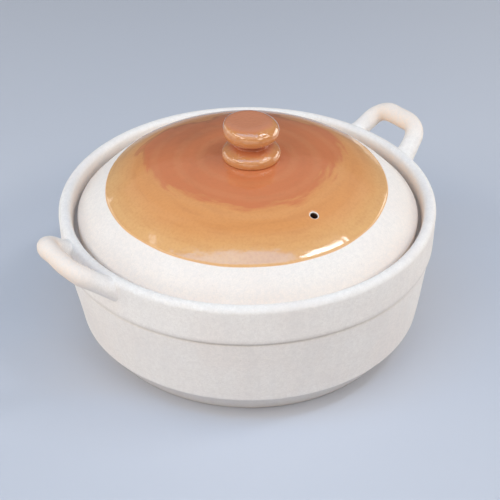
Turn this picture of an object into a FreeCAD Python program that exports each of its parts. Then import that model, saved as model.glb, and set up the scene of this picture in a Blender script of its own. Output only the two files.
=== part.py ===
import FreeCAD, Part
import math
import os

# Stoneware sand pot with a loose domed lid. Millimetres, Z up.
# The origin is the centre of the flat base, and the two loop handles lie along X.

# Pot, outside
rim_radius = 120.0            # collar and lip
pot_height = 92.0             # base to the top of the lip
rim_thickness = 7.0           # lip, fully rounded
collar_height = 25.2          # band from the lip's top down to the step
collar_step = 1.9             # the collar stands this far proud of the wall
collar_edge_round = 1.1
step_round = 0.7
wall_taper = 5.6              # radius lost from the step down to the foot line
foot_height = 18.3            # foot line above the base
foot_round = 1.5
base_inset = 12.6             # radius lost along the bevel under the foot line
base_round = 2.0

# Pot, inside
wall_thickness = 8.5
floor_thickness = 8.0
bowl_corner = 20.0
gallery_depth = 13.5          # lip's top down to the ledge that carries the lid
gallery_round = 1.5
ledge_width = 9.5
ledge_round = 1.8
corbel_height = 14.0          # the wall leans in over this height to carry the ledge
corbel_round = 12.0

# Lid
lid_gap = 4.2                 # between the lid's edge and the collar's inside
lid_edge_height = 6.0
lid_edge_round = 1.6
seat_width = 6.8              # flat ring under the lid's edge
seat_round = 1.0
lid_thickness = 6.5
dome_rise = 35.5              # lid's edge to the top of the crown
crown_radius = 300.0          # nearly flat middle of the dome
crown_reach = 50.0            # where the crown turns into the shoulder

# Steam vent, pierced square to the dome, nearly a quarter turn from the handles
vent_radius = 2.4
vent_reach = 67.0             # from the lid's axis
vent_angle = -92.0
vent_bare_ring = 0.6          # unglazed clay around the hole
vent_overrun = 6.5            # the drill runs this far past both faces of the dome

# Knob, heights counted upwards from the crown's top
knob_foot_radius = 18.0
knob_foot_height = 4.8        # the foot's shoulder
knob_foot_round = 3.6
knob_neck_radius = 10.4
knob_neck_foot = 9.0          # the foot slopes up to the neck
knob_neck_height = 4.5
knob_neck_round = 1.4
knob_head_radius = 17.0
knob_head_height = 10.6
knob_head_top_round = 5.0
knob_head_under_round = 4.8
knob_off_axis = 2.4           # the hand-set knob stands a little off the lid's axis
knob_off_angle = -38.0

# Fired glaze coats
glaze_thickness = 0.5
amber_radius = 89.2           # where the amber coat ends on the dome
lining_margin = 3.0           # bare clay left under the ledge's edge

# Loop handles, each in a plane tilted up from the collar
handle_drift = 1.0            # the hand-set handles stand this many degrees round from X, both towards +Y
handle_tilt = 40.0
handle_root_drop = 7.0        # root's centre below the lip's top
handle_root_sink = 2.0        # the loop is measured from this far inside the collar's face
handle_root_spread = 23.5     # half the distance between the two roots
handle_grip_spread = 17.8     # half the distance between the two bends
handle_reach = 24.4           # collar to the grip's middle, along the tilted plane
handle_bend_radius = 10.8
handle_bar_width = 12.7       # across the bar, in the loop's plane
handle_bar_depth = 11.6       # across the bar, square to that plane
handle_flare = 1.8            # each root swells by this much all round where it is luted on
handle_flare_length = 9.0
handle_bury = 6.0             # length of root trimmed off by the collar
flare_place_shares = (1.0, 0.7, 0.4, 0.15, 0.0)
flare_growth_shares = (0.0, 0.04, 0.24, 0.66, 1.0)

# Derived places
axis = FreeCAD.Vector(0, 0, 1)
sideways = FreeCAD.Vector(0, 1, 0)
origin = FreeCAD.Vector(0, 0, 0)
lip_round = rim_thickness / 2
step_height = pot_height - collar_height
wall_top_radius = rim_radius - collar_step
foot_radius = wall_top_radius - wall_taper
base_radius = foot_radius - base_inset
gallery_radius = rim_radius - rim_thickness
ledge_height = pot_height - gallery_depth
ledge_radius = gallery_radius - ledge_width
lid_radius = gallery_radius - lid_gap
lid_edge_top = ledge_height + lid_edge_height
crown_top = lid_edge_top + dome_rise
knob_shift = FreeCAD.Vector(
    knob_off_axis * math.cos(math.radians(knob_off_angle)),
    knob_off_axis * math.sin(math.radians(knob_off_angle)),
    0,
)
loop_out = FreeCAD.Vector(math.cos(math.radians(handle_tilt)), 0, math.sin(math.radians(handle_tilt)))
loop_square = loop_out.cross(sideways)


def at(radius, height):
    """Point of a turned profile, in the XZ plane."""
    return FreeCAD.Vector(radius, 0, height)


def line(start, end):
    """Straight edge."""
    return Part.LineSegment(start, end).toShape()


def arc(centre, radius, start, end):
    """Short arc about centre from the direction of start to the direction of end."""
    first = (start - centre).normalize()
    last = (end - centre).normalize()
    middle = (first + last).normalize()
    return Part.Arc(centre + first * radius, centre + middle * radius, centre + last * radius).toShape()


def rounded(corners):
    """Edges through (point, rounding) corners, each rounding a tangent arc."""
    edges = []
    straights = [corners[0][0]]
    for (before, _), (corner, rounding), (after, _) in zip(corners, corners[1:], corners[2:]):
        back = (before - corner).normalize()
        ahead = (after - corner).normalize()
        half_angle = back.getAngle(ahead) / 2
        tangent = rounding / math.tan(half_angle)
        centre = corner + (back + ahead).normalize() * (rounding / math.sin(half_angle))
        straights += [corner + back * tangent, corner + ahead * tangent]
        edges.append(arc(centre, rounding, straights[-2], straights[-1]))
    straights.append(corners[-1][0])
    for start, end in zip(straights[::2], straights[1::2]):
        if start.distanceToPoint(end) > Part.Precision.confusion():
            edges.append(line(start, end))
    return Part.__sortEdges__(edges)


def turned(face):
    """Solid swept by a profile face turned once about the Z axis."""
    return face.revolve(origin, axis, 360)


def closed_on_axis(edges):
    """Profile face of an outline whose two ends lie on the axis."""
    start = edges[0].Vertexes[0].Point
    end = edges[-1].Vertexes[-1].Point
    return Part.Face(Part.Wire(edges + [line(end, start)]))


def pot_outside():
    """Corners from the base's centre up the outside to the lip."""
    return [
        (at(0, 0), 0),
        (at(base_radius, 0), base_round),
        (at(foot_radius, foot_height), foot_round),
        (at(wall_top_radius, step_height), step_round),
        (at(rim_radius, step_height), collar_edge_round),
        (at(rim_radius, pot_height), lip_round),
    ]


def bowl_inside():
    """Corners from the ledge's edge down the inside to the floor's centre; the wall follows the outside."""
    lean = wall_taper / (step_height - foot_height)
    corbel_foot = ledge_height - corbel_height
    bowl_top = wall_top_radius - wall_thickness - lean * (step_height - corbel_foot)
    bowl_low = wall_top_radius - wall_thickness - lean * (step_height - floor_thickness)
    return [
        (at(ledge_radius, ledge_height), ledge_round),
        (at(bowl_top, corbel_foot), corbel_round),
        (at(bowl_low, floor_thickness), bowl_corner),
        (at(0, floor_thickness), 0),
    ]


def pot_body():
    """Thrown pot: flat base, bevelled foot, tapered wall, proud collar, rounded lip and the lid's ledge."""
    lip_and_ledge = [
        (at(gallery_radius, pot_height), lip_round),
        (at(gallery_radius, ledge_height), gallery_round),
    ]
    return turned(closed_on_axis(rounded(pot_outside() + lip_and_ledge + bowl_inside())))


def pot_block():
    """The pot's outside as a full block up to and above the lip's crest, which trims what is luted to it."""
    crest = at(rim_radius - lip_round, pot_height)
    edges = rounded(pot_outside() + [(crest, 0)])
    above = crest + axis * handle_reach
    return turned(closed_on_axis(edges + [line(crest, above), line(above, at(0, above.z))]))


def bowl_glaze():
    """Lining on the bowl's inside, from just under the ledge down to the floor."""
    corners = bowl_inside()
    ledge_edge = corners[0][0]
    down = (corners[1][0] - ledge_edge).normalize()
    corners[0] = (ledge_edge + down * lining_margin, 0)
    skin = Part.Wire(rounded(corners)).makeOffset2D(-glaze_thickness, 0, True, True, False)
    return turned(skin)


def shoulder_of_dome():
    """Where the crown turns into the shoulder, with the shoulder arc's centre and radius."""
    lean = math.asin(crown_reach / crown_radius)
    joint = at(crown_reach, crown_top - crown_radius + crown_radius * math.cos(lean))
    inward = at(-math.sin(lean), -math.cos(lean))
    to_edge = at(lid_radius, lid_edge_top) - joint
    radius = to_edge.dot(to_edge) / (to_edge.dot(inward) * 2)
    return joint, joint + inward * radius, radius


def dome_point(reach, depth):
    """Point of the shoulder at that distance from the axis, this deep under the dome's outside."""
    _, centre, radius = shoulder_of_dome()
    return at(reach, centre.z + math.sqrt((radius - depth) ** 2 - (reach - centre.x) ** 2))


def dome_outline(end, depth):
    """Crown and shoulder arcs, tangent where they join, from the axis out towards a point."""
    joint, centre, radius = shoulder_of_dome()
    crown_centre = at(0, crown_top - crown_radius)
    return [
        arc(crown_centre, crown_radius - depth, at(0, crown_top), joint),
        arc(centre, radius - depth, joint, end),
    ]


def vent_drill(radius):
    """Pin square to the dome, through the vent."""
    _, centre, _ = shoulder_of_dome()
    mouth = dome_point(vent_reach, 0)
    outward = (mouth - centre).normalize()
    foot = mouth - outward * (lid_thickness + vent_overrun)
    drill = Part.makeCylinder(radius, lid_thickness + vent_overrun * 2, foot, outward)
    drill.rotate(origin, axis, vent_angle)
    return drill


def lid_outside():
    """Dome arcs, rounded edge and the edge's upright face down to where its seat rounds off."""
    _, centre, radius = shoulder_of_dome()
    inset = lid_radius - lid_edge_round
    drop = math.sqrt((radius - lid_edge_round) ** 2 - (inset - centre.x) ** 2)
    edge_centre = at(inset, centre.z + drop)
    edge_side = at(lid_radius, edge_centre.z)
    past_edge = edge_centre + (edge_centre - centre)
    return dome_outline(edge_centre, 0) + [arc(edge_centre, lid_edge_round, past_edge, edge_side)], edge_side


def lid_dome():
    """Shell of even thickness with a thicker seating ring, pierced by the vent."""
    outside, edge_side = lid_outside()
    seat_radius = lid_radius - seat_width
    ring_top = dome_point(seat_radius, lid_thickness)
    seat = rounded([
        (edge_side, 0),
        (at(lid_radius, ledge_height), seat_round),
        (at(seat_radius, ledge_height), seat_round),
        (ring_top, 0),
    ])
    inside = dome_outline(ring_top, lid_thickness)
    middle = line(at(0, crown_top - lid_thickness), at(0, crown_top))
    lid = turned(Part.Face(Part.Wire(Part.__sortEdges__(outside + seat + inside + [middle]))))
    return lid.cut(vent_drill(vent_radius))


def crown_block():
    """The lid's outside as a full block, which trims what is luted to its crown."""
    outside, edge_side = lid_outside()
    return turned(closed_on_axis(outside + [line(edge_side, at(0, edge_side.z))]))


def knob_outline():
    """Head, neck and foot ring, from the top's middle down into the crown."""
    shoulder = crown_top + knob_foot_height
    neck_foot = crown_top + knob_neck_foot
    neck_top = neck_foot + knob_neck_height
    head_top = neck_top + knob_head_height
    return Part.Wire(rounded([
        (at(0, head_top), 0),
        (at(knob_head_radius, head_top), knob_head_top_round),
        (at(knob_head_radius, neck_top), knob_head_under_round),
        (at(knob_neck_radius, neck_top), knob_neck_round),
        (at(knob_neck_radius, neck_foot), knob_neck_round),
        (at(knob_foot_radius, shoulder), knob_foot_round),
        (at(knob_foot_radius, crown_top - lid_thickness), 0),
    ]))


def knob_block(outline):
    """Solid knob of that outline, run down into the crown and set off the lid's axis."""
    edges = outline.OrderedEdges
    foot = outline.OrderedVertexes[-1].Point
    knob = turned(closed_on_axis(edges + [line(foot, at(0, foot.z))]))
    knob.translate(knob_shift)
    return knob


def glazed_knob():
    """The knob with its glaze on, as a full block."""
    return knob_block(knob_outline().makeOffset2D(glaze_thickness, 0, False, True, False))


def lid_knob():
    """Turned clay knob whose foot follows the crown."""
    return knob_block(knob_outline()).cut(crown_block())


def knob_glaze():
    """Amber coat over the whole knob, down to the crown."""
    return glazed_knob().cut([knob_block(knob_outline()), crown_block()])


def crown_glaze():
    """Amber coat from the knob's foot out to its round edge, clear of the vent."""
    end = dome_point(amber_radius, 0)
    under = dome_outline(end, 0)
    over = dome_outline(end, -glaze_thickness)
    middle = line(at(0, crown_top), at(0, crown_top + glaze_thickness))
    edge = line(under[-1].Vertexes[-1].Point, over[-1].Vertexes[-1].Point)
    coat = turned(Part.Face(Part.Wire(Part.__sortEdges__(under + [edge] + over + [middle]))))
    return coat.cut(glazed_knob()).cut(vent_drill(vent_radius + vent_bare_ring))


def loop_point(out, across):
    """Point of the handle's tilted plane: distance out from the collar, and sideways."""
    root = at(rim_radius - handle_root_sink, pot_height - handle_root_drop)
    return root + loop_out * out + sideways * across


def bar_section(centre, across, growth):
    """Oval wire of the bar: across is the direction of its width, in the loop's plane."""
    wide = centre + across * (handle_bar_width / 2 + growth)
    deep = centre + loop_square * (handle_bar_depth / 2 + growth)
    return Part.Wire(Part.Ellipse(wide, deep, centre).toShape())


def handle_root(root, along):
    """Flared end of the bar, from its full section down into the collar."""
    across = along.cross(loop_square)
    sections = [
        bar_section(root + along * (handle_flare_length * place), across, handle_flare * growth)
        for place, growth in zip(flare_place_shares, flare_growth_shares)
    ]
    sections.append(bar_section(root - along * handle_bury, across, handle_flare))
    return Part.makeLoft(sections, True)


def handle(turn):
    """Bent oval bar with two flared roots seated on the collar, turned to its side of the pot."""
    root = loop_point(0, -handle_root_spread)
    bend = loop_point(handle_reach, -handle_grip_spread)
    along = (bend - root).normalize()
    mirror = FreeCAD.Matrix()
    mirror.A22 = -1
    start = root + along * handle_flare_length
    path = [(start, 0), (bend, handle_bend_radius)]
    path += [(mirror.multVec(point), rounding) for point, rounding in reversed(path)]
    across = along.cross(loop_square)
    spine = Part.Wire(rounded(path))
    bar = spine.makePipeShell([bar_section(start, across, 0)], True, False)
    roots = [handle_root(root, along), handle_root(mirror.multVec(root), mirror.multVec(along))]
    loop = bar.fuse(roots).removeSplitter().cut(pot_block())
    loop.rotate(origin, axis, turn)
    return loop


def save(name, shape):
    """Write one node, which is always a single solid."""
    solid, = shape.Solids
    print(name, "valid", solid.isValid(), "volume", round(solid.Volume, 1))
    solid.exportStep(os.path.join("parts", name + ".step"))


os.makedirs("parts", exist_ok=True)
save("pot_body", pot_body())
save("right_handle", handle(handle_drift))
save("left_handle", handle(180 - handle_drift))
save("bowl_glaze", bowl_glaze())
save("lid_dome", lid_dome())
save("lid_knob", lid_knob())
save("knob_glaze", knob_glaze())
save("crown_glaze", crown_glaze())
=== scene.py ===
import bpy
import numpy as np
from mathutils import Matrix, Vector


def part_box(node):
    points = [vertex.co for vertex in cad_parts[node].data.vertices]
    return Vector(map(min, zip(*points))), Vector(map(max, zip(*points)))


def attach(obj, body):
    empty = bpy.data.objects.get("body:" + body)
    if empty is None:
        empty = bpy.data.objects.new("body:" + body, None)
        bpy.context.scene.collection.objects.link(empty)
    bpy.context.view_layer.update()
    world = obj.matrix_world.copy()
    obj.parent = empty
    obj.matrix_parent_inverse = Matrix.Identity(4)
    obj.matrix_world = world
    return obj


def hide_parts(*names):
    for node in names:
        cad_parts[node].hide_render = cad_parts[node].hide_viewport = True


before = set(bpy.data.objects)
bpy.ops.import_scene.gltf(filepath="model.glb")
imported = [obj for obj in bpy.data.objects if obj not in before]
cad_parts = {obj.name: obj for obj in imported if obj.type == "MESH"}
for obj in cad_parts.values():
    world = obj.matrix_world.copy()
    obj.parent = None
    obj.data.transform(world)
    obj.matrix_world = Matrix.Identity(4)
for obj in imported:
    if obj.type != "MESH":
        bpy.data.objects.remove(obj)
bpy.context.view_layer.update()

# Stoneware pot with a loose lid, in metres, Z up along its axis and handles along X

# Pot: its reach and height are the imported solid's
rim_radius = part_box("pot_body")[1].x
pot_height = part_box("pot_body")[1].z
lip_round = 0.0035
collar_height = 0.0252
collar_step = 0.0013
collar_edge_round = 0.0008
step_round = 0.0005
score_depth = 0.0012
score_height = 0.0024
wall_taper = 0.0062
foot_height = 0.0183
foot_round = 0.0011
base_inset = 0.0126
base_round = 0.002
wall_thickness = 0.0085
floor_thickness = 0.008
bowl_corner = 0.02
gallery_depth = 0.0135
gallery_round = 0.0015
gallery_lean = 0.0018
ledge_width = 0.0095
ledge_round = 0.0018
corbel_height = 0.014
corbel_round = 0.012
foot_drift = Vector((0.0012, -0.0009))
drift_top = 0.07

step_height = pot_height - collar_height
wall_radius = rim_radius - collar_step
foot_radius = wall_radius - wall_taper
base_radius = foot_radius - base_inset
gallery_radius = rim_radius - 2 * lip_round
ledge_height = pot_height - gallery_depth
ledge_radius = gallery_radius - ledge_width

# Lid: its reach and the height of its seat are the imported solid's
lid_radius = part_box("lid_dome")[1].x
seat_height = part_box("lid_dome")[0].z
crown_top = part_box("lid_dome")[1].z
lid_edge_height = 0.006
lid_edge_round = 0.0016
seat_width = 0.0068
seat_round = 0.001
lid_thickness = 0.0065
crown_radius = 0.3
crown_reach = 0.05
vent_radius = 0.0024
vent_reach = 0.067
vent_angle = np.radians(-92)
vent_mouth_round = 0.0003
vent_bare_ring = 0.0004
vent_edge_width = 0.0007
settle_radius = 0.084
shoulder_swell = 0.003
shoulder_swell_angle = np.radians(57)

# Knob, set a little off the lid's axis; heights are counted from the crown's top
knob_middle = (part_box("lid_knob")[0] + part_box("lid_knob")[1]) / 2
knob_foot_radius = 0.018
knob_foot_height = 0.0048
knob_foot_round = 0.0036
knob_tuck = 0.006
knob_tuck_lift = 0.0006
knob_tuck_round = 0.0014
knob_neck_radius = 0.0104
knob_neck_foot = 0.009
knob_neck_height = 0.0045
knob_neck_round = 0.0014
knob_head_radius = 0.017
knob_head_height = 0.0106
knob_head_top_round = 0.005
knob_head_under_round = 0.0048
knob_lean = Vector((-0.0007, 0.0021))

# Glaze coats
glaze_thickness = 0.0005
glaze_sink = 0.00015
glaze_edge_width = 0.0015
amber_radius = 0.0894
amber_drift = Vector((-0.001, -0.0005))
gold_gain = 1.6
neck_shade_reach = 0.006
lining_margin = 0.003

# The amber coat's edge wanders by slow waves: swing, waves round the edge and phase
amber_edge_waves = [
    (0.00025, 3, 1),
    (0.00012, 7, 0),
    (0.00008, 16, 2),
]

# How far the terracotta brushing reaches from the axis, at even steps round it from +X
blush_reach = np.array([
    0.07, 0.065, 0.066, 0.066, 0.06, 0.07, 0.071, 0.067, 0.057,
    0.054, 0.053, 0.053, 0.052, 0.052, 0.0515, 0.0515, 0.053, 0.065,
])

# The lid's far side, where an arc of painted shadow and dark reflection lies and the coat's thin edge has
# painted shade: its middle's angle, how far round it reaches as a cosine, the painted arc's middle radius
# and half width, and the half width of the dark stroke round the brushing
far_side_angle = np.radians(70)
far_side_reach = 0.2
shadow_arc_radius = 0.054
shadow_arc_width = 0.019
stroke_width = 0.0022

# Loop handles, each in a plane tilted up from the collar and set a little round towards +Y; the bar swells
# by small shares of its section, at paces in radians to the metre
handle_drift = np.radians(1.0)
handle_tilt = np.radians(40)
handle_root_drop = 0.007
handle_root_sink = 0.002
handle_root_spread = 0.0235
handle_grip_spread = 0.0178
handle_reach = 0.0244
handle_bend_radius = 0.0128
handle_bar_width = 0.0127
handle_bar_depth = 0.0116
slow_swell = 0.03
slow_swell_pace = 160
quick_swell = 0.02
quick_swell_pace = 410
root_start = 0.009
root_search = 3 * root_start
root_skirt_low = 0.001
root_skirt_high = 0.0024
root_sink = 0.0004

# Hand work: depth and seed of the slow waves round each turned piece, and the most that a wave twists, in
# radians to the metre of height
pot_wobble = 0.0004
pot_seed = 5
lid_wobble = 0.0003
lid_seed = 8
wobble_waves = range(2, 8)
wobble_twist = 20

# How the clay is toned: shares of full painted shade, of peach tint and of painted warm bounce light, and
# how far they reach in metres
crease_reach = 0.0013
foot_shade = 0.27
gap_shade = 0.45
gap_shade_rise = 0.003
# Painted warm bounce light in the gallery, stronger on one side
gallery_flush = 0.5
toasted_flush = 0.5
warm_side_angle = np.radians(-38)
lid_flush = 0.17
lid_flush_reach = 0.014
# Painted warm bounce light on the handles
ear_flush = 0.95
ear_inner_flush = 0.4
ear_under_flush = 0.3
ear_flush_limit = 1.3
ear_flush_reach = 0.018
vent_flush_rings = 3
# How deep into the vent's bore the painted shade reaches full strength
vent_shade_depth = 0.0012

# How fine the surfaces are
arc_steps = 8
bead_steps = 32
crown_rings = 70
shoulder_rings = 14
under_rings = 50
under_edge_rings = 8
run_spacing = 0.0024
turn_steps = 288
knob_steps = 144
vent_steps = 12
pole_radius = 0.0004
section_steps = 48
bar_steps = 84
root_steps = 12
search_steps = 40


def unit(vectors):
    """Vectors divided by their lengths."""
    return vectors / np.linalg.norm(vectors, axis=-1, keepdims=True)


def ease(value, low, high):
    """0 below low, 1 above high, with a smooth cubic step between them."""
    share = np.clip((value - low) / (high - low), 0, 1)
    return share ** 2 * (3 - 2 * share)


def outline(corners):
    """Plane outline through (place, place, rounding) corners: each rounding is the arc tangent to both its
    sides, sampled in even turns, and straight runs are filled with evenly spaced points."""
    corners = np.array(corners, float)
    places = corners[:, :2]
    keys = [places[:1]]
    for before, corner, after, rounding in zip(places, places[1:], places[2:], corners[1:, 2]):
        back = unit(before - corner)
        ahead = unit(after - corner)
        half = np.arccos(back @ ahead) / 2
        centre = corner + unit(back + ahead) * rounding / np.sin(half)
        start = corner + back * rounding / np.tan(half) - centre
        end = corner + ahead * rounding / np.tan(half) - centre
        turn = np.pi - 2 * half
        share = np.linspace(0, 1, arc_steps)[:, None]
        spoke = np.sin((1 - share) * turn) * start + np.sin(share * turn) * end
        keys.append(centre + spoke / np.sin(turn))
    keys = np.vstack(keys + [places[-1:]])
    lengths = np.linalg.norm(np.diff(keys, axis=0), axis=1)
    travel = np.concatenate([[0], np.cumsum(lengths)])
    counts = np.maximum(np.ceil(lengths / run_spacing).astype(int), 1)
    stops = [np.linspace(a, b, n, endpoint=False) for a, b, n in zip(travel, travel[1:], counts) if b > a]
    stops = np.append(np.concatenate(stops), travel[-1])
    return np.stack([np.interp(stops, travel, keys[:, axis]) for axis in range(2)], -1)


def turned(profile, steps=turn_steps, start=0.0):
    """Rings of a (radius, height) profile carried round the Z axis from a starting angle."""
    turn = start + np.linspace(0, 2 * np.pi, steps, endpoint=False)
    radius = np.maximum(profile[:, :1], pole_radius)
    height = np.broadcast_to(profile[:, 1:], (len(profile), steps))
    return np.stack([radius * np.cos(turn), radius * np.sin(turn), height], -1)


def hand_worked(rings, depth, seed):
    """Rings pushed in and out along their radius by slow waves round the axis that twist with height."""
    chance = np.random.default_rng(seed)
    turn = np.arctan2(rings[..., 1], rings[..., 0])
    radius = np.hypot(rings[..., 0], rings[..., 1])
    push = np.zeros_like(turn)
    for waves in wobble_waves:
        phase = chance.uniform(0, 2 * np.pi)
        twist = chance.uniform(-wobble_twist, wobble_twist)
        push += depth / waves * np.cos(waves * turn + phase + twist * rings[..., 2])
    scale = 1 + push * np.minimum(radius / ledge_radius, 1) / np.maximum(radius, pole_radius)
    return rings * np.stack([scale, scale, np.ones_like(scale)], -1)


def skin_faces(index, closed):
    """Quads between neighbouring rings of a grid of vertex numbers, the last ring joined to the first if
    closed."""
    if closed:
        index = np.vstack([index, index[:1]])
    here, there = index[:-1], index[1:]
    return np.stack([here, np.roll(here, -1, 1), np.roll(there, -1, 1), there], -1).reshape(-1, 4)


def signed_volume(vertices, quads):
    """Sum of the tetrahedra from the origin to the two triangles of each quad."""
    a, b, c, d = (vertices[quads[:, corner]] for corner in range(4))
    return np.sum(np.cross(a, b) * c + np.cross(a, c) * d)


def piece(name, rings, finish, body, slot, nodes, closed=False, **attributes):
    """Closed mesh over a grid of rings. Where the rings don't close on themselves, each end ring is closed
    by a fan to its middle. Faces are turned outwards by the sign of the volume."""
    count, around = rings.shape[:2]
    vertices = rings.reshape(-1, 3)
    index = np.arange(count * around).reshape(count, around)
    quads = skin_faces(index, closed)
    outward = signed_volume(vertices, quads) > 0
    faces = quads.tolist()
    if not closed:
        middles = len(vertices) + np.arange(2)
        vertices = np.vstack([vertices, rings[[0, -1]].mean(1)])
        first = np.stack([np.full(around, middles[0]), np.roll(index[0], -1), index[0]], -1)
        last = np.stack([np.full(around, middles[1]), index[-1], np.roll(index[-1], -1)], -1)
        faces += first.tolist() + last.tolist()
    mesh = bpy.data.meshes.new(name)
    mesh.from_pydata(vertices.tolist(), [], faces if outward else [face[::-1] for face in faces])
    mesh.polygons.foreach_set("use_smooth", np.ones(len(faces), bool))
    for key, values in attributes.items():
        values = np.append(values.ravel(), np.zeros(len(vertices) - values.size))
        mesh.attributes.new(key, "FLOAT", "POINT").data.foreach_set("value", values.astype(np.float32))
    mesh.materials.append(finish)
    mesh.update()
    made = bpy.data.objects.new(name, mesh)
    bpy.context.scene.collection.objects.link(made)
    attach(made, body)
    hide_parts(*nodes)
    return made


class Value:
    """A shader value: arithmetic on it adds Math nodes to its finish."""

    def __init__(self, finish, socket):
        self.finish = finish
        self.socket = socket

    def math(self, operation, first, second=0.0):
        """One Math node over two values."""
        return self.finish.node("Math", {"operation": operation}, {0: first, 1: second})

    def __add__(self, other):
        return self.math("ADD", self, other)

    def __sub__(self, other):
        return self.math("SUBTRACT", self, other)

    def __rsub__(self, other):
        return self.math("SUBTRACT", other, self)

    def __mul__(self, other):
        return self.math("MULTIPLY", self, other)

    def __truediv__(self, other):
        return self.math("DIVIDE", self, other)

    def __pow__(self, other):
        return self.math("POWER", self, other)

    def sine(self):
        return self.math("SINE", self)

    __radd__ = __add__
    __rmul__ = __mul__


class Finish:
    """A material, or the sky, written as expressions that feed its one shader."""

    def __init__(self, owner, shader="Principled BSDF"):
        self.owner = owner
        self.owner.use_nodes = True
        self.tree = self.owner.node_tree
        self.shader = self.tree.nodes[shader]
        self.place = self.node("TexCoord", {}, {}, "Object")

    def node(self, kind, settings, inputs, output=0):
        """Adds one node: its settings first, then its sockets' values or links."""
        made = self.tree.nodes.new("ShaderNode" + kind)
        for key, setting in settings.items():
            setattr(made, key, setting)
        for key, value in inputs.items():
            self.feed(made.inputs[key], value)
        return Value(self, made.outputs[output])

    def feed(self, socket, value):
        """Links a shader value to a socket, or sets a plain one on it."""
        if isinstance(value, Value):
            self.tree.links.new(value.socket, socket)
        else:
            socket.default_value = value

    def show(self, **inputs):
        """Sets the shader's sockets, named with underscores for spaces."""
        for key, value in inputs.items():
            self.feed(self.shader.inputs[key.replace("_", " ")], value)
        return self.owner

    def noise(self, scale, detail=2.0, place=None):
        """Smooth noise from 0 to 1 over the piece's own coordinates; scale is in waves to the metre."""
        inputs = {"Vector": place or self.place, "Scale": scale, "Detail": detail}
        return self.node("TexNoise", {}, inputs)

    def mask(self, value, low, high):
        """0 below low, 1 above high, with a smooth step between them."""
        inputs = {"Value": value, "From Min": low, "From Max": high}
        return self.node("MapRange", {"interpolation_type": "SMOOTHSTEP"}, inputs)

    def mix(self, share, first, second):
        """First colour where share is 0, second where it is 1."""
        return self.node("Mix", {"data_type": "RGBA"}, {0: share, 6: first, 7: second}, 2)

    def attribute(self, name):
        """A value that the mesh carries at its points."""
        return self.node("Attribute", {"attribute_name": name}, {}, "Fac")

    def axes(self, vector):
        """X, Y and Z of a vector."""
        return [self.node("SeparateXYZ", {}, {"Vector": vector}, axis) for axis in "XYZ"]

    def bump(self, height, strength, distance):
        """Normal shaken by a height."""
        return self.node("Bump", {}, {"Height": height, "Strength": strength, "Distance": distance})


def tint(red, green, blue):
    """Linear colour of an 8-bit display colour."""
    share = np.array([red, green, blue]) / 255
    linear = np.where(share <= 0.04045, share / 12.92, ((share + 0.055) / 1.055) ** 2.4)
    return (*linear.tolist(), 1.0)


# Colours of the clay
clay_cream = tint(243, 237, 231)
clay_rose = tint(241, 232, 225)
# Peach tint, also laid on as painted warm bounce light in the gallery and on the handles
clay_peach = tint(241, 208, 178)
clay_sand = tint(222, 214, 208)
clay_speckle = tint(226, 218, 212)
clay_wiped = tint(226, 220, 216)
clay_pore = tint(190, 174, 162)
# Painted shade, for the corner under the collar, the foot's bevel and the ledge in the gap
clay_shade = tint(142, 128, 119)
# Painted shade inside the vent's bore
clay_bore_shade = tint(70, 42, 28)

# Colours of the amber glaze on the crown and on the knob
amber_terracotta = tint(208, 121, 76)
amber_gold = tint(221, 152, 91)
amber_pool = tint(227, 176, 117)
amber_pale_ring = tint(236, 188, 134)
amber_brush_mark = tint(180, 106, 68)
amber_cloud = tint(196, 122, 78)
amber_fleck = tint(188, 116, 70)
# Painted shadow and dark reflection, in an arc on the lid's far side
amber_painted_shadow = tint(140, 84, 62)
amber_stroke = tint(132, 78, 54)
amber_thin = tint(234, 200, 168)
# Painted shade on the coat's thin edge, on the far side
amber_thin_shaded = tint(160, 108, 72)
knob_terracotta = tint(203, 128, 91)
knob_gold = tint(206, 140, 84)
# Painted shade in the knob's neck, under the head
knob_neck_shade = tint(172, 78, 42)
knob_cloud = tint(196, 120, 74)

# Colours of the lining
lining_pale = tint(238, 232, 220)
lining_warm = tint(230, 220, 204)
lining_pinhole = tint(196, 176, 152)
lining_toasted = tint(226, 196, 164)

# Grain of the clay: noise in waves to the metre, wiped streaks drawn out upwards, and relief in metres
clay_cloud_scale = 24
clay_grain_scale = 1300
clay_pore_scale = 620
clay_speckle_scale = 420
clay_wipe_scale = 130
clay_wipe_stretch = (1.0, 1.0, 0.08)
clay_relief_scale = 500
clay_relief = 0.0003

# Grain of the amber glaze: noise in waves to the metre, rings in radians to the metre, and places in metres
wander_scale = 34
brush_round = 2.5
brush_outward = 240
blush_wander = 0.014
blush_fray = 0.02
blush_inside = -0.0032
blush_outside = 0.0036
pool_wander = 0.01
pool_start = 0.068
pool_full = 0.089
sweep_pace = 420
sweep_wander_scale = 12
sweep_wander = 5
amber_cloud_scale = 190
amber_fleck_scale = 620
amber_wave_scale = 55
amber_ripple_scale = 170
amber_wave_height = 0.0012
knob_cloud_scale = 260
knob_streak_scale = 90
knob_dimple_scale = 520
knob_dimple_depth = 0.0006

# Grain of the lining
lining_cloud_scale = 30
lining_pinhole_scale = 420
lining_wave_scale = 70
lining_wave_height = 0.001


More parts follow.
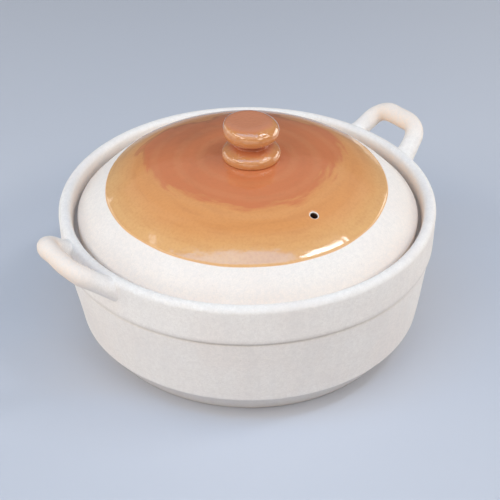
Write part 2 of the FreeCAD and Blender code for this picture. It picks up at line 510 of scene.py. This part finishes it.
def stoneware():
    """Matte cream clay: slow rosy clouds, sandy grain in two sizes and faint pores. Where a mesh asks for
    them it has a peach tint that also serves as painted warm bounce light, streaks wiped down the wall,
    painted grey shade in creases and painted dark shade in the vent's bore."""
    clay = Finish(bpy.data.materials.new("stoneware"))
    cloud = clay.mask(clay.noise(clay_cloud_scale, 3.0), 0.35, 0.7)
    grain = clay.noise(clay_grain_scale, 3.0)
    pore = clay.mask(clay.noise(clay_pore_scale, 1.0), 0.72, 0.8)
    speckle = clay.mask(clay.noise(clay_speckle_scale), 0.35, 0.7)
    drawn_out = clay.node("VectorMath", {"operation": "MULTIPLY"}, {0: clay.place, 1: clay_wipe_stretch})
    streak = clay.mask(clay.noise(clay_wipe_scale, place=drawn_out), 0.4, 0.7)
    base = clay.mix(cloud, clay_cream, clay_rose)
    # Peach tint on the lid, and painted warm bounce light in the gallery and on the handles
    base = clay.mix(clay.attribute("flush") * 0.75, base, clay_peach)
    base = clay.mix(clay.mask(grain, 0.35, 0.7) * 0.4, base, clay_sand)
    base = clay.mix(speckle * 0.4, base, clay_speckle)
    base = clay.mix(streak * (clay.attribute("wiped") * 0.25), base, clay_wiped)
    base = clay.mix(pore * 0.2, base, clay_pore)
    # Painted shade in creases, on the foot's bevel and low in the gallery
    base = clay.mix(clay.attribute("painted_shade") * 0.9, base, clay_shade)
    # Painted shade darkening the vent's bore
    base = clay.mix(clay.attribute("bore_shade"), base, clay_bore_shade)
    relief = clay.bump(grain + clay.noise(clay_relief_scale) * 0.5, 0.38, clay_relief)
    return clay.show(Base_Color=base, Roughness=0.62 + grain * 0.2, Normal=relief, Specular_IOR_Level=0.35)


def amber():
    """Glossy amber glaze: terracotta where the crown was brushed, golden where the coat has run out and
    pooled, with frayed brush rings, fine flecks, a dark stroke round the brushing on the far side and an
    arc of painted shadow and dark reflection there. The coat is matte and pale where it thins to nothing,
    with painted shade on that thin edge on the far side."""
    glaze = Finish(bpy.data.materials.new("amber_glaze"))
    across, along, _ = glaze.axes(glaze.place)
    reach = (across * across + along * along) ** 0.5
    depth = glaze.attribute("depth")
    behind = glaze.attribute("behind")
    wander = glaze.noise(wander_scale, 3.0) - 0.5
    ring_axes = {0: across / reach * brush_round, 1: along / reach * brush_round, 2: reach * brush_outward}
    brushed = glaze.noise(1.0, 3.0, place=glaze.node("CombineXYZ", {}, ring_axes))
    past_blush = glaze.attribute("past_blush") + wander * blush_wander + (brushed - 0.5) * blush_fray
    golden = glaze.mask(past_blush, blush_inside, blush_outside)
    # Painted shadow and dark reflection in an arc on the far side
    painted_shadow_arc = behind * (1 - glaze.mask((reach - shadow_arc_radius) ** 2, 0, shadow_arc_width ** 2))
    stroke = behind * (1 - glaze.mask(past_blush ** 2, 0, stroke_width ** 2))
    pooled = glaze.mask(reach + wander * pool_wander, pool_start, pool_full)
    sweep = (reach * sweep_pace + glaze.noise(sweep_wander_scale, 1.0) * sweep_wander).sine()
    mottle = glaze.noise(amber_cloud_scale, 3.0)
    fleck = glaze.mask(glaze.noise(amber_fleck_scale), 0.4, 0.7)
    full = glaze.mask(depth, 0.05, 0.45)
    sealed = glaze.mask(depth, 0.7, 1.0)
    base = glaze.mix(golden, amber_terracotta, amber_gold)
    base = glaze.mix(pooled, base, amber_pool)
    base = glaze.mix(glaze.mask(sweep + mottle, 0.3, 1.7) * 0.07, base, amber_pale_ring)
    base = glaze.mix(glaze.mask(brushed, 0.45, 0.75) * 0.16, base, amber_brush_mark)
    base = glaze.mix(mottle * 0.15, base, amber_cloud)
    base = glaze.mix(fleck * 0.14, base, amber_fleck)
    # Painted shadow and dark reflection in the arc
    base = glaze.mix(painted_shadow_arc * (0.22 + mottle * 0.35), base, amber_painted_shadow)
    base = glaze.mix(stroke * 0.4, base, amber_stroke)
    # Thin edge: the glaze's own pale tone, with painted shade on the far side
    base = glaze.mix(full, glaze.mix(behind, amber_thin, amber_thin_shaded), base)
    height = glaze.noise(amber_wave_scale) + glaze.noise(amber_ripple_scale) * 0.22
    waves = glaze.bump(height, 0.5, amber_wave_height)
    rough = 0.48 + mottle * 0.05 - sealed * 0.4
    coat = {"Coat_Weight": sealed * 0.4, "Coat_Roughness": 0.04}
    return glaze.show(Base_Color=base, Normal=waves, Roughness=rough, **coat)


def knob_amber():
    """The same amber glaze on the knob: terracotta on the flat top, painted shade in the neck, breaking to
    gold on the rounds, with a dimpled skin."""
    glaze = Finish(bpy.data.materials.new("knob_amber_glaze"))
    neck = glaze.attribute("neck")
    mottle = glaze.noise(knob_cloud_scale, 3.0)
    streak = glaze.noise(knob_streak_scale) - 0.5
    gold = glaze.mask(glaze.attribute("gold") + streak * 0.5, 0.02, 0.5)
    base = glaze.mix(gold, knob_terracotta, knob_gold)
    # Painted shade in the neck
    base = glaze.mix(neck * 0.9, base, knob_neck_shade)
    base = glaze.mix(mottle * 0.3, base, knob_cloud)
    dimples = glaze.bump(glaze.noise(knob_dimple_scale), 0.7, knob_dimple_depth)
    rough = 0.03 + mottle * 0.03 + neck * 0.3
    coat = {"Coat_Weight": 1 - neck, "Coat_Roughness": 0.02}
    return glaze.show(Base_Color=base, Normal=dimples, Roughness=rough, **coat)


def lining():
    """Glossy pale lining with a faint warm cloud, pinholes and a toasted upper edge."""
    glaze = Finish(bpy.data.materials.new("lining_glaze"))
    cloud = glaze.noise(lining_cloud_scale, 3.0)
    pinhole = glaze.mask(glaze.noise(lining_pinhole_scale, 1.0), 0.74, 0.8)
    full = glaze.mask(glaze.attribute("depth"), 0.1, 0.9)
    base = glaze.mix(cloud, lining_pale, lining_warm)
    base = glaze.mix(pinhole * 0.4, base, lining_pinhole)
    base = glaze.mix(full, lining_toasted, base)
    waves = glaze.bump(glaze.noise(lining_wave_scale), 0.1, lining_wave_height)
    rough = 0.14 + cloud * 0.06
    coat = {"Coat_Weight": 0.3, "Coat_Roughness": 0.05}
    return glaze.show(Base_Color=base, Normal=waves, Roughness=rough, **coat)


def outside_corners():
    """Corners from the base's middle up the outside to the lip."""
    return [
        (0, 0, 0),
        (base_radius, 0, base_round),
        (foot_radius, foot_height, foot_round),
        (wall_radius, step_height - score_height, score_height / 2),
        (wall_radius - score_depth, step_height, step_round),
        (rim_radius, step_height, collar_edge_round),
        (rim_radius, pot_height, lip_round),
        (gallery_radius, pot_height, lip_round),
        (gallery_radius - gallery_lean, ledge_height, gallery_round),
    ]


def bowl_corners():
    """Corners from the ledge's edge down the inside to the floor's middle; the wall follows the outside."""
    lean = wall_taper / (step_height - foot_height)
    corbel_foot = ledge_height - corbel_height
    bowl_top = wall_radius - wall_thickness - lean * (step_height - corbel_foot)
    bowl_low = wall_radius - wall_thickness - lean * (step_height - floor_thickness)
    return [
        (ledge_radius, ledge_height, ledge_round),
        (bowl_top, corbel_foot, corbel_round),
        (bowl_low, floor_thickness, bowl_corner),
        (0, floor_thickness, 0),
    ]


def thrown(profile):
    """The pot's profile turned once, pushed about by hand, with the foot a little off the rim's axis."""
    rings = hand_worked(turned(profile), pot_wobble, pot_seed)
    low = 1 - ease(rings[..., 2:], foot_height, drift_top)
    return rings + low * np.array([*foot_drift, 0])


def pot_clay(clay):
    """The pot's whole profile, base to lip to floor. Painted shade fades away from the step, darkens the
    foot and rises from the ledge, and painted warm bounce light fills the gallery, more on one side."""
    profile = outline(outside_corners() + bowl_corners())
    from_step = np.linalg.norm(profile - np.array([wall_radius, step_height]), axis=1)
    rings = thrown(profile)
    # Painted shade: fading away from the corner under the collar, over the foot's bevel and up from the
    # ledge in the gap
    painted_shade = np.exp(-(from_step / crease_reach) ** 2)
    painted_shade = painted_shade + foot_shade * (1 - ease(profile[:, 1], foot_height - 2 * foot_round, foot_height))
    inside_lip = (profile[:, 0] > ledge_radius) & (profile[:, 0] < rim_radius - lip_round)
    in_gallery = inside_lip & (profile[:, 1] > step_height)
    above_ledge = ease(profile[:, 1], ledge_height, ledge_height + gap_shade_rise)
    painted_shade = painted_shade + gap_shade * in_gallery * (1 - above_ledge)
    # Painted warm bounce light on the gallery wall, stronger on one side
    flush = in_gallery * (1 - ease(profile[:, 1], pot_height - 2 * lip_round, pot_height))
    warm_side = ease(np.cos(np.arctan2(rings[..., 1], rings[..., 0]) - warm_side_angle), 0, 1)
    flush = flush[:, None] * (gallery_flush + toasted_flush * warm_side)
    painted_shade = np.broadcast_to(painted_shade[:, None], rings.shape[:2])
    tones = {"painted_shade": painted_shade, "flush": flush, "wiped": np.ones(rings.shape[:2])}
    return piece("pot_clay", rings, clay, "pot", "stoneware", ["pot_body"], **tones)


def coat_depth(distance):
    """Share of a coat's full thickness at a distance from its edge, rising along a parabola."""
    return 1 - (1 - np.clip(distance / glaze_edge_width, 0, 1)) ** 2


def bowl_lining(glaze):
    """The bowl's inside profile set in by the coat's thickness, which rounds off at the upper edge, and
    back just under the clay."""
    corners = bowl_corners()
    edge = np.array(corners[0][:2])
    down = unit(np.array(corners[1][:2]) - edge)
    corners[0] = (*(edge + down * lining_margin), 0)
    wall = outline(corners)
    slope = np.gradient(wall, axis=0)
    inward = unit(np.stack([slope[:, 1], -slope[:, 0]], -1))
    travel = np.concatenate([[0], np.cumsum(np.linalg.norm(np.diff(wall, axis=0), axis=1))])
    depth = coat_depth(travel)
    skin = wall + inward * (glaze_thickness * depth)[:, None]
    rings = thrown(np.vstack([wall[::-1] - inward[::-1] * glaze_sink, skin]))
    depths = np.concatenate([np.ones(len(wall)), depth])
    depths = np.broadcast_to(depths[:, None], rings.shape[:2])
    return piece("bowl_lining", rings, glaze, "pot", "lining_glaze", ["bowl_glaze"], depth=depths)


def collar_gap(points):
    """Distance of points outside the collar and its rounded lip, with the direction away from them."""
    radius = np.hypot(points[..., 0], points[..., 1])
    round_middle = rim_radius - lip_round
    above = np.maximum(points[..., 2] - (pot_height - lip_round), 0)
    beside = np.where(above > 0, radius - round_middle, lip_round)
    gap = np.where(above > 0, np.hypot(beside, above) - lip_round, radius - rim_radius)
    flat = np.stack([points[..., 0], points[..., 1]], -1) / radius[..., None] * beside[..., None]
    return gap, unit(np.concatenate([flat, above[..., None]], -1))


def luted_root(ring, away):
    """Rings that carry the bar's last ring onto the collar: each point bends along a quadratic curve from
    the bar, towards where its line meets the clay, and out along the clay, ending just under it."""
    near = np.zeros(len(ring))
    far = np.full(len(ring), root_search)
    for _ in range(search_steps):
        middle = (near + far) / 2
        outside = collar_gap(ring - away * middle[:, None])[0] > 0
        near = np.where(outside, middle, near)
        far = np.where(outside, far, middle)
    meet = ring - away * near[:, None]
    normal = collar_gap(meet)[1]
    spread = ring - ring.mean(0)
    spread = unit(spread - normal * np.sum(spread * normal, -1, keepdims=True))
    rising = ease(spread[:, 2:], 0, 1)
    foot = meet + spread * (root_skirt_low + (root_skirt_high - root_skirt_low) * rising)
    gap, normal = collar_gap(foot)
    foot = foot - normal * (gap[:, None] + root_sink)
    share = np.linspace(0, 1, root_steps + 1)[1:, None, None]
    return (1 - share) ** 2 * ring + 2 * share * (1 - share) * meet + share ** 2 * foot


def ear_handle(name, side, clay, node):
    """An oval section, gently swelling, carried round a bent bar in its tilted plane, with both ends luted
    onto the collar. A painted warm bounce light is strongest on the loop's inner and under sides and fades
    out at the roots."""
    path = outline([
        (0, -handle_root_spread, 0),
        (handle_reach, -handle_grip_spread, handle_bend_radius),
        (handle_reach, handle_grip_spread, handle_bend_radius),
        (0, handle_root_spread, 0),
    ])
    travel = np.concatenate([[0], np.cumsum(np.linalg.norm(np.diff(path, axis=0), axis=1))])
    stops = np.linspace(root_start, travel[-1] - root_start, bar_steps)
    out, across = (np.interp(stops, travel, path[:, axis]) for axis in range(2))
    outward = np.array([np.cos(handle_tilt), 0, np.sin(handle_tilt)])
    square = np.array([-np.sin(handle_tilt), 0, np.cos(handle_tilt)])
    sideways = np.array([0, 1, 0])
    root = np.array([rim_radius - handle_root_sink, 0, pot_height - handle_root_drop])
    middle = root + out[:, None] * outward + across[:, None] * sideways
    ahead = unit(np.gradient(middle, axis=0))
    wide = np.cross(square, ahead)
    swell = 1 + slow_swell * np.sin(stops * slow_swell_pace + side)
    swell = swell + quick_swell * np.sin(stops * quick_swell_pace)
    turn = np.linspace(0, 2 * np.pi, section_steps, endpoint=False)
    section = np.cos(turn)[:, None] * wide[:, None] * handle_bar_width / 2
    section = section + np.sin(turn)[:, None] * square * handle_bar_depth / 2
    bar = middle[:, None] + section * swell[:, None, None]
    roots = [luted_root(bar[0], ahead[0])[::-1], luted_root(bar[-1], -ahead[-1])]
    rings = np.concatenate([roots[0], bar, roots[1]])
    inner = np.broadcast_to(np.cos(turn), rings.shape[:2])
    under = np.broadcast_to(-np.sin(turn), rings.shape[:2])
    from_root = np.minimum(stops, travel[-1] - stops) - root_start
    bare = np.zeros(root_steps)
    fade = np.concatenate([bare, ease(from_root, 0, ear_flush_reach), bare])[:, None]
    # Painted warm bounce light on the loop's inner and under sides
    flush = ear_flush + ear_inner_flush * inner + ear_under_flush * under
    flush = fade * np.clip(flush, 0, ear_flush_limit)
    cosine, sine = np.cos(handle_drift), np.sin(handle_drift)
    x, y, z = np.moveaxis(rings, -1, 0)
    rings = np.stack([side * (x * cosine - y * sine), x * sine + y * cosine, z], -1)
    return piece(name, rings, clay, "pot", "stoneware", [node], flush=flush)


def dome():
    """Where the crown turns into the shoulder: the shoulder arc's middle and radius, in the profile's
    plane."""
    lean = np.arcsin(crown_reach / crown_radius)
    joint = np.array([crown_reach, crown_top - crown_radius + crown_radius * np.cos(lean)])
    inward = -np.array([np.sin(lean), np.cos(lean)])
    to_edge = np.array([lid_radius, seat_height + lid_edge_height]) - joint
    radius = to_edge @ to_edge / (2 * to_edge @ inward)
    return joint + inward * radius, radius


def dome_skin(plan, lift):
    """Points over a plan, on the dome's crown and shoulder arcs, moved out along the arcs' radii by
    lift."""
    centre, radius = dome()
    reach = np.linalg.norm(plan, axis=-1)
    on_crown = reach < crown_reach
    lean = np.where(on_crown, np.arcsin(np.minimum(reach / crown_radius, 1)), 0)
    lean = np.where(on_crown, lean, np.arcsin(np.clip((reach - centre[0]) / radius, -1, 1)))
    height = np.where(
        on_crown,
        crown_top - crown_radius + (crown_radius + lift) * np.cos(lean),
        centre[1] + (radius + lift) * np.cos(lean),
    )
    scale = 1 + lift * np.sin(lean) / np.maximum(reach, pole_radius)
    return np.concatenate([plan * scale[..., None], height[..., None]], -1)


def lopsided(rings):
    """Lid rings pushed about by hand, with the shoulder swollen on one side: the swell rises and falls
    smoothly with the distance from the axis and fades round to the other side."""
    rings = hand_worked(rings, lid_wobble, lid_seed)
    reach = np.hypot(rings[..., 0], rings[..., 1])
    turn = np.arctan2(rings[..., 1], rings[..., 0]) - shoulder_swell_angle
    rising = ease(reach, knob_foot_radius, settle_radius)
    falling = 1 - ease(reach, amber_radius, lid_radius - lid_edge_round)
    lift = shoulder_swell * (rising * falling) * ((1 + np.cos(turn)) / 2) ** 2
    return rings + np.stack([np.zeros_like(lift), np.zeros_like(lift), lift], -1)


def nested_rings(radii, hole_reach, hole_radius):
    """Plan of rings that never cross: each circle's middle slides from the hole's to the axis as its radius
    grows from the hole's to where the rings settle round the axis."""
    turn = vent_angle + np.linspace(0, 2 * np.pi, turn_steps, endpoint=False)
    radii = radii.reshape(len(radii), -1, 1)
    slide = hole_reach * (1 - np.clip((radii - hole_radius) / (settle_radius - hole_radius), 0, 1))
    outward = np.array([np.cos(vent_angle), np.sin(vent_angle)])
    return slide * outward + radii * np.stack([np.cos(turn), np.sin(turn)], -1)


def vent_rings():
    """The vent's bore, from its rounded upper mouth down to its rounded lower one, square to the dome."""
    centre, radius = dome()
    lean = np.arcsin((vent_reach - centre[0]) / radius)
    outward = np.array([np.cos(vent_angle), np.sin(vent_angle), 0])
    upward = np.array([0, 0, 1])
    normal = outward * np.sin(lean) + upward * np.cos(lean)
    downhill = outward * np.cos(lean) - upward * np.sin(lean)
    sideways = np.cross(normal, downhill)
    mouth = outward * vent_reach + upward * (centre[1] + radius * np.cos(lean))
    bend = np.linspace(0, np.pi / 2, arc_steps)
    sink = vent_mouth_round * (1 - np.cos(bend))
    flare = vent_mouth_round * (1 - np.sin(bend))
    wall = np.linspace(sink[-1], lid_thickness - sink[-1], vent_steps)[1:-1]
    depth = np.concatenate([sink, wall, lid_thickness - sink[::-1]])
    radii = vent_radius + np.concatenate([flare, np.zeros_like(wall), flare[::-1]])
    turn = np.linspace(0, 2 * np.pi, turn_steps, endpoint=False)
    ring = np.cos(turn)[:, None] * downhill + np.sin(turn)[:, None] * sideways
    return mouth - normal * depth[:, None, None] + ring * radii[:, None, None], depth


def lid_clay(clay):
    """One closed skin: out over the dome from the vent in nested rings, round the edge and seat, back under
    the dome, and up through the vent's bore."""
    centre, radius = dome()
    hole = vent_radius + vent_mouth_round
    spread = np.concatenate([
        np.linspace(hole, settle_radius, crown_rings)[1:],
        np.linspace(settle_radius, lid_radius - 2 * lid_edge_round, shoulder_rings)[1:],
    ])
    inner_reach = vent_reach - lid_thickness * (vent_reach - centre[0]) / radius
    seat_radius = lid_radius - seat_width
    ring_top = centre[1] + np.sqrt((radius - lid_thickness) ** 2 - (seat_radius - centre[0]) ** 2)
    top_edge = dome_skin(np.array([spread[-1], 0.0]), 0.0)
    under_reach = seat_radius - 2 * lid_edge_round
    under_edge = centre[1] + np.sqrt((radius - lid_thickness) ** 2 - (under_reach - centre[0]) ** 2)
    rim = outline([
        (top_edge[0], top_edge[2], 0),
        (lid_radius, seat_height + lid_edge_height, lid_edge_round),
        (lid_radius, seat_height, seat_round),
        (seat_radius, seat_height, seat_round),
        (seat_radius, ring_top, seat_round),
        (under_reach, under_edge, 0),
    ])
    back = np.concatenate([
        np.linspace(under_reach, settle_radius, under_edge_rings)[1:],
        np.linspace(settle_radius, hole, under_rings)[1:-1],
    ])
    under = dome_skin(nested_rings(back, inner_reach, hole), -lid_thickness)
    over = dome_skin(nested_rings(spread, vent_reach, hole), 0.0)
    edge = turned(rim[1:-1], start=vent_angle)
    bore, bore_depth = vent_rings()
    rings = lopsided(np.concatenate([over, edge, under, bore[::-1]]))
    # Painted shade inside the vent's bore, darkening with depth
    bore_shade = np.zeros(rings.shape[:2])
    bore_shade[-len(bore):] = ease(bore_depth[::-1, None], 0, vent_shade_depth)
    reach = np.hypot(rings[..., 0], rings[..., 1])
    flush = lid_flush * (1 + ease(reach, lid_radius - lid_flush_reach, lid_radius))
    flush[:vent_flush_rings] = 1
    tones = {"bore_shade": bore_shade, "flush": flush}
    return piece("lid_clay", rings, clay, "lid", "stoneware", ["lid_dome"], closed=True, **tones)


def amber_crown(glaze):
    """Coat over the dome in nested rings, from the bare ring round the vent to a slightly wandering round
    edge, thinning to nothing at both, and back just under the clay. Each point carries how far it lies past
    the brushing and how far round to the far side, where shade is painted."""
    hole = vent_radius + vent_bare_ring
    turn = np.linspace(0, 2 * np.pi, turn_steps, endpoint=False) + vent_angle
    edge = amber_radius + amber_drift.x * np.cos(turn) + amber_drift.y * np.sin(turn)
    for swing, waves, phase in amber_edge_waves:
        edge = edge + swing * np.sin(waves * turn + phase)
    start = hole + vent_edge_width * np.linspace(0, 1, arc_steps) ** 2
    finish = 1 - (1 - np.linspace(0, 1, bead_steps)) ** 2
    radii = np.concatenate([start, np.linspace(start[-1], settle_radius, crown_rings)[1:]])
    radii = np.broadcast_to(radii[:, None], (len(radii), turn_steps))
    last = settle_radius + (edge - settle_radius) * finish[1:, None]
    radii = np.concatenate([radii, last])
    plan = nested_rings(radii, vent_reach, hole)
    from_edge = np.minimum(edge - radii, (radii - hole) * glaze_edge_width / vent_edge_width)
    depth = coat_depth(np.maximum(from_edge, 0))
    over = dome_skin(plan, glaze_thickness * depth)
    under = dome_skin(plan[::-1], np.full_like(depth, -glaze_sink))
    rings = lopsided(np.concatenate([over, under]))
    depths = np.concatenate([depth, np.ones_like(depth)])
    round_axis = np.arctan2(rings[..., 1], rings[..., 0])
    places = np.linspace(0, 2 * np.pi, len(blush_reach), endpoint=False)
    blush = np.interp(round_axis, places, blush_reach, period=2 * np.pi)
    past_blush = np.hypot(rings[..., 0], rings[..., 1]) - blush
    # How far round to the far side, which carries the painted shade and the dark stroke
    behind = ease(np.cos(round_axis - far_side_angle), far_side_reach, 1)
    tones = {"depth": depths, "past_blush": past_blush, "behind": behind}
    return piece("amber_crown", rings, glaze, "lid", "amber_glaze", ["crown_glaze"], closed=True, **tones)


def knob_corners(grow):
    """Corners of the knob's outline, from the top's middle down into the crown, grown all round."""
    shoulder = crown_top + knob_foot_height
    neck_foot = crown_top + knob_neck_foot
    neck_top = neck_foot + knob_neck_height
    head_top = neck_top + knob_head_height
    return [
        (0, head_top + grow, 0),
        (knob_head_radius + grow, head_top + grow, knob_head_top_round + grow),
        (knob_head_radius + grow, neck_top - grow, knob_head_under_round + grow),
        (knob_neck_radius + grow, neck_top - grow, knob_neck_round - grow),
        (knob_neck_radius + grow, neck_foot + grow, knob_neck_round - grow),
        (knob_foot_radius + grow, shoulder + grow, knob_foot_round + grow),
        (knob_foot_radius + grow, crown_top + knob_tuck_lift - grow, knob_tuck_round + grow),
        (knob_foot_radius - knob_tuck, crown_top - knob_tuck_lift - grow, 0),
    ]


def set_knob(rings):
    """Knob rings moved to where the knob was set, the head's top leaning by the square of its height above
    the head's widest."""
    widest = crown_top + knob_neck_foot + knob_neck_height + knob_head_under_round
    rise = np.clip((rings[..., 2:] - widest) / (knob_head_height - knob_head_under_round), 0, 1)
    return rings + rise ** 2 * np.array([*knob_lean, 0]) + np.array([knob_middle.x, knob_middle.y, 0])


def knob_clay(clay):
    """The knob's clay, turned about its own axis down to its root in the crown."""
    rings = set_knob(turned(outline(knob_corners(0.0)), knob_steps))
    return piece("knob_clay", rings, clay, "lid", "stoneware", ["lid_knob"])


def knob_coat(glaze):
    """The knob's outline grown by the coat, and back along the clay. Gold grows with how upright the side
    stands and down the foot, and the neck's painted shade fades away from the neck's middle."""
    outer = outline(knob_corners(glaze_thickness))
    inner = outline(knob_corners(0.0))
    profile = np.vstack([outer, inner[::-1]])
    slope = unit(np.gradient(outer, axis=0))
    upright = np.clip(-gold_gain * slope[:, 1] * (1 - slope[:, 0] ** 2), 0, 1)
    upright = np.maximum(upright, 1 - ease(outer[:, 1] - crown_top, knob_foot_height, knob_neck_foot))
    upright = np.concatenate([upright, np.zeros(len(inner))])
    # Painted shade in the neck, under the head
    neck_middle = crown_top + knob_neck_foot + knob_neck_height / 2
    neck = np.exp(-((profile[:, 1] - neck_middle) / knob_neck_height) ** 2)
    neck = neck * (1 - ease(profile[:, 0], knob_neck_radius, knob_neck_radius + neck_shade_reach))
    rings = set_knob(turned(profile, knob_steps))
    gold, neck = (np.broadcast_to(value[:, None], rings.shape[:2]) for value in (upright, neck))
    return piece("knob_coat", rings, glaze, "lid", "amber_glaze", ["knob_glaze"], gold=gold, neck=neck)


# Studio: the camera stands where the photograph was taken, and lamps are placed round the same direction
camera_azimuth = np.radians(-38)
camera_eye = Vector((-0.37219, -0.47898, 0.47731))
camera_gaze = Vector((0.5026, 0.6433, -0.5776))
camera_lens = 80.86
camera_sensor = 36.0
floor_reach = 2.6
floor_shade = tint(193, 196, 205)
floor_roughness = 0.6
sky_shade = tint(226, 228, 234)
sky_strength = 0.2
plain = (1.04, 1.0, 0.92)
white = (0.94, 1.0, 1.08)
warm = (1.06, 1.0, 0.94)
cool = (0.25, 0.9, 1.7)
level = (1, 0, 0)

# Lamps: name, (right, away, up) place from the camera's side, direction of the long side, (long, short)
# size, power and colour
lamps = [
    ("overhead_strip", (-0.15, -0.26, 1.16), level, (1.2, 0.3), 2.6, cool),
    ("front_bank", (0, -0.92, 1.31), level, (2.4, 1.1), 7.6, warm),
    ("left_front", (-0.99, -0.64, 0.92), (0.54, -0.84, 0), (1.2, 0.26), 6.3, plain),
    ("right_front", (1.02, -0.59, 0.92), (0.5, 0.87, 0), (1.2, 0.26), 5.8, plain),
    ("front_low", (-0.25, -1.42, 0.15), (0.98, -0.17, 0), (2.0, 0.4), 3.5, plain),
    ("left_side", (-1.43, -0.25, 0.36), (0.17, -0.98, 0), (1.2, 0.6), 3.6, plain),
    ("left_back", (-1.33, 0.62, 0.31), (0.42, 0.91, 0), (1.0, 0.5), 2.8, plain),
    ("right_back", (1.33, 0.62, 0.31), (0.42, -0.91, 0), (1.0, 0.5), 6.6, plain),
    ("back_bank", (0, 1.03, 1.22), level, (2.4, 1.1), 1.6, plain),
    ("left_spot", (-0.85, 0.15, 1.0), (0.4, 0.8, 0), (0.22, 0.05), 0.12, white),
    ("right_strip", (0.68, -0.015, 1.11), (0.63, 0.67, -0.39), (0.51, 0.07), 2.6, white),
]


def photo_camera():
    """Camera at the photograph's place, level, looking along its axis."""
    data = bpy.data.cameras.new("photo_camera")
    data.sensor_width = camera_sensor
    data.lens = camera_lens
    camera = bpy.data.objects.new("photo_camera", data)
    camera.location = camera_eye
    camera.rotation_euler = camera_gaze.to_track_quat("-Z", "Y").to_euler()
    bpy.context.scene.collection.objects.link(camera)
    bpy.context.scene.camera = camera


def softbox(name, place, length, size, power, colour):
    """Rectangular lamp at a (right, away, up) place from the camera's side, aimed at the pot's middle, its
    long side along a (right, away, up) direction made square to that aim."""
    away = -np.array([*place]) / np.linalg.norm(place)
    across = unit(np.array(length) - away * (np.array(length) @ away))
    rows = np.stack([across, np.cross(-away, across), -away])
    turn = Matrix.Rotation(camera_azimuth, 4, "Z")
    data = bpy.data.lights.new(name, "AREA")
    data.shape = "RECTANGLE"
    data.size, data.size_y = size
    data.energy = power
    data.color = colour
    lamp = bpy.data.objects.new(name, data)
    lamp.matrix_world = turn @ Matrix.Translation(place) @ Matrix(rows.T.tolist()).to_4x4()
    lamp.location.z += pot_height
    lamp.visible_camera = False
    bpy.context.scene.collection.objects.link(lamp)


def sky():
    """Even pale sky."""
    world = bpy.data.worlds.new("sky")
    bpy.context.scene.world = Finish(world, "Background").show(Color=sky_shade, Strength=sky_strength)


def studio():
    """Round pale floor, the lamps and the sky, with colours shown as they are."""
    mesh = bpy.data.meshes.new("floor")
    edge = turned(np.array([[floor_reach, 0]]))[0]
    mesh.from_pydata(edge.tolist(), [], [range(len(edge))])
    ground = Finish(bpy.data.materials.new("floor"))
    mesh.materials.append(ground.show(Base_Color=floor_shade, Roughness=floor_roughness))
    floor = bpy.data.objects.new("floor", mesh)
    bpy.context.scene.collection.objects.link(floor)
    for lamp in lamps:
        softbox(*lamp)
    sky()
    bpy.context.scene.view_settings.view_transform = "Standard"


def main():
    """Dress every node of the pot and its lid."""
    clay = stoneware()
    pot_clay(clay)
    bowl_lining(lining())
    ear_handle("right_ear", 1, clay, "right_handle")
    ear_handle("left_ear", -1, clay, "left_handle")
    lid_clay(clay)
    amber_crown(amber())
    knob_clay(clay)
    knob_coat(knob_amber())
    photo_camera()
    studio()


main()
